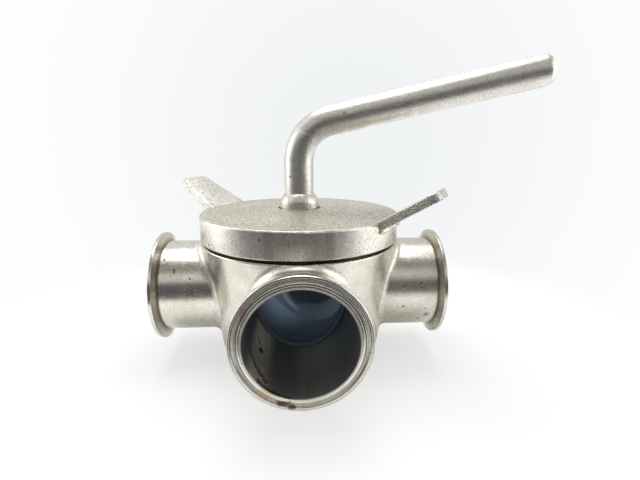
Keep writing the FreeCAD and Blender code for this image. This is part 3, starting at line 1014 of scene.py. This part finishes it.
def turnedPiece(name, profile, material, body):
    # a ring about the plug axis from its closed profile of radius and height
    turns = around(capForm["segments"])
    rings = [circle(radius, height, turns) for radius, height in profile]
    return newPiece(name, sweepRings(rings, True), material, body)


def buildCapCrown(material):
    form = capForm
    base = capRimTop - form["sunk"]
    bevel = form["bevel"]
    edge = capRadius - form["topEdge"] + bevel
    hole = form["holeRadius"]
    peak = capRimTop + form["crown"]
    profile = [(edge, base), (hole + bevel, peak), (hole, peak - bevel), (hole, base)]
    return turnedPiece("capCrown", profile, material, "cap")


def buildCapSkirt(material):
    form = capForm
    outer = capRadius
    foot = capLow.z - form["skirt"]
    edge = form["bottomEdge"]
    top = capLow.z + edge
    profile = [(outer - form["width"], top), (outer - form["width"], foot), (outer - edge, foot)]
    for step in range(1, form["edgeSteps"] + 1):
        angle = math.pi / 2 * step / form["edgeSteps"]
        profile.append((outer - edge + edge * math.sin(angle), foot + edge - edge * math.cos(angle)))
    profile.append((outer, top))
    return turnedPiece("capSkirt", profile, material, "cap")


wingForm = {
    "rise": 30.7,  # degrees above the horizontal
    # lift is that of the middle plane above the rim's top, buried is how deep the root ends in the cap
    **lengths(lift=-0.3, thickness=7.0, reach=42.2, rootWidth=45.0, tipWidth=29.0, corner=5.0,
              edge=0.9, buried=2.0),
    "rootSteps": 24, "cornerSteps": 12, "edgeSteps": 4,
}


def wingOutline(inset, height):
    # the plate's outline at one height, from the curved root round both corners of the tip
    form = wingForm
    rise = math.radians(form["rise"])
    root = form["rootWidth"] / 2 - inset
    tip = form["tipWidth"] / 2 - inset
    reach = form["reach"] - inset
    corner = form["corner"] - inset
    slant = math.atan((root - tip) / reach)
    middle = root - corner * math.cos(slant)
    middle -= (reach - corner + corner * math.sin(slant)) * math.tan(slant)
    under = (-form["buried"] - form["lift"] - height * math.cos(rise)) / math.sin(rise)
    points = []
    for step in range(form["rootSteps"] + 1):
        across = root * (2 * step / form["rootSteps"] - 1)
        rim = math.sqrt((capRadius - form["buried"]) ** 2 - across ** 2) - capRadius
        points.append((min(under, (rim + height * math.sin(rise)) / math.cos(rise)), across))
    points.append((0.0, root))
    steps = form["cornerSteps"]
    arc = [(math.pi / 2 - slant) * (1 - step / steps) for step in range(steps + 1)]
    points += [(reach - corner + corner * math.cos(turn), middle + corner * math.sin(turn)) for turn in arc]
    points += [(along, -across) for along, across in reversed(points[-len(arc):])]
    points.append((0.0, -root))
    return points


def buildWing(side, material):
    form = wingForm
    rise = math.radians(form["rise"])
    azimuth = math.radians(wingBeads[side]["azimuth"])
    layers = []
    for step in range(form["edgeSteps"] + 1):
        angle = math.pi / 2 * (1 - step / form["edgeSteps"])
        inset = form["edge"] * (1 - math.cos(angle))
        layers.append((inset, form["thickness"] / 2 - form["edge"] * (1 - math.sin(angle))))
    layers += [(inset, -height) for inset, height in reversed(layers)]
    rings = []
    for inset, height in layers:
        ring = []
        for along, across in wingOutline(inset, height):
            outward = capRadius + along * math.cos(rise) - height * math.sin(rise)
            up = capRimTop + form["lift"] + along * math.sin(rise) + height * math.cos(rise)
            ring.append((outward * math.cos(azimuth) - across * math.sin(azimuth),
                         outward * math.sin(azimuth) + across * math.cos(azimuth), up))
        rings.append(ring)
    return newPiece(side + "Wing", sweepRings(rings, False), material, "cap")


handleForm = {
    "turn": -7.0, "rise": 12.5,  # degrees from straight right, and slope of the arm
    # axisHeight is from the cap's rim to where the arm's line meets the plug axis
    **lengths(radius=12.0, bendRadius=34.0, axisHeight=68.1, length=199.5, tipRound=7.5),
    "segments": 96, "bendSteps": 32, "tipSteps": 12,
}


def buildHandle(material):
    # a round bar that rises from the stem, bends and reaches out to a round tip
    form = handleForm
    rise = math.radians(form["rise"])
    turn = math.radians(form["turn"])
    up = Vector((0, 0, 1))
    out = Vector((math.cos(turn), math.sin(turn), 0))
    side = Vector((-math.sin(turn), math.cos(turn), 0))
    arm = out * math.cos(rise) + up * math.sin(rise)
    corner = up * (capRimTop + form["axisHeight"])
    bend = form["bendRadius"]
    start = corner - up * bend * math.tan((math.pi / 2 - rise) / 2)
    stations = [(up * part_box("handle_bar")[0].z, 0.0, form["radius"])]
    for step in range(form["bendSteps"] + 1):
        angle = (math.pi / 2 - rise) * step / form["bendSteps"]
        centre = start + out * bend * (1 - math.cos(angle)) + up * bend * math.sin(angle)
        stations.append((centre, angle, form["radius"]))
    tip = form["tipRound"]
    for step in range(form["tipSteps"] + 1):
        angle = math.pi / 2 * step / form["tipSteps"]
        centre = corner + arm * (form["length"] - tip + tip * math.sin(angle))
        stations.append((centre, math.pi / 2 - rise, form["radius"] - tip + tip * math.cos(angle)))
    turns = around(form["segments"])
    rings = []
    for centre, lean, radius in stations:
        upward = up * math.sin(lean) - out * math.cos(lean)  # square to the bar, in its plane
        rings.append([centre + radius * (side * math.cos(angle) + upward * math.sin(angle))
                      for angle in turns])
    return newPiece("handleBar", sweepRings(rings, False), material, "plug")


# ---- dress the nodes
finishes = {
    "bowl_steel": bowlSteel(),
    "weld_steel": weldSteel(),
    "cap_steel": capSteel(),
    "wing_steel": wingSteel(),
    "handle_steel": plainSteel("handleSteel", handleLook),
    "core_steel": plainSteel("coreSteel", {**weldLook, "bump": 0.0001}),
    "plug_rubber": plugRubber(),
    "seal_rubber": sealRubber(),
    "bearing_plastic": bearingPlastic(),
}
ferrules = {"left_ferrule": sideFerruleSteel("left"), "right_ferrule": sideFerruleSteel("right"),
            "front_ferrule": frontFerruleSteel()}
slotOf = {part["node"]: part["material_slot"] for part in frame["record"]["subparts"]}
for name, node in nodes.items():
    node.data.materials.clear()
    node.data.materials.append(ferrules.get(name) or finishes[slotOf[name]])
print("nodes dressed:", len(nodes))

buildThread(finishes["bowl_steel"])
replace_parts(buildHandleBead(finishes["weld_steel"]), "handle_weld")
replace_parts(buildHandle(finishes["handle_steel"]), "handle_bar")
for side in ("front", "rear"):
    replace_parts(buildWingBead(side, finishes["weld_steel"]), side + "_wing_weld")
    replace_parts(buildWing(side, finishes["wing_steel"]), side + "_wing")
buildCapCrown(finishes["cap_steel"])
buildCapSkirt(finishes["cap_steel"])
print("pieces built")
